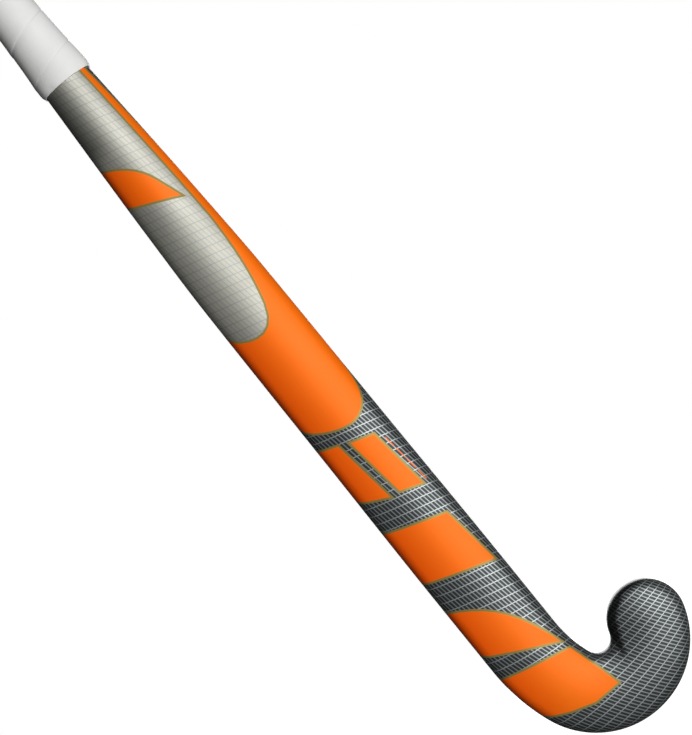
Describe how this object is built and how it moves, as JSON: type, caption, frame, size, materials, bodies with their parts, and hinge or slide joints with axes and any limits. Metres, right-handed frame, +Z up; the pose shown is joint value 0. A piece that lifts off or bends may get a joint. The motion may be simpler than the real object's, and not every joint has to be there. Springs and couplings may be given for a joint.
{
  "type": "field hockey stick",
  "caption": "Field hockey stick with a bowed composite shaft, hooked head with a flat playing face and a wound cushion grip.",
  "frame": {"origin": "on the handle's axis, in the middle of the round stretch of the grip", "axes": "+Z up the handle towards the butt, +X towards the side the toe points to, +Y out of the flat playing face; the rounded back faces -Y"},
  "size_m": [0.1211, 0.0607, 0.9255],
  "materials": {
    "painted_laminate": "clear-coated paint over composite",
    "bare_laminate": "moulded composite",
    "rigid_foam": "closed-cell foam",
    "bladder_film": "thin film",
    "cap_rubber": "moulded rubber",
    "tape_backing": "adhesive tape",
    "grip_cushion": "smooth cushioned wrap",
    "finishing_tape": "vinyl tape"
  },
  "bodies": {
    "root": {"outer_laminate": "painted_laminate", "head_core": "rigid_foam", "inner_tube_toe_side": "bare_laminate", "inner_tube_heel_side": "bare_laminate", "bladder_toe_side": "bladder_film", "bladder_heel_side": "bladder_film", "handle_plug": "rigid_foam", "butt_cap": "cap_rubber", "adhesive_underlay": "tape_backing", "grip_end_ring": "tape_backing", "cushion_grip": "grip_cushion", "finishing_tape": "finishing_tape"}
  },
  "joints": []
}
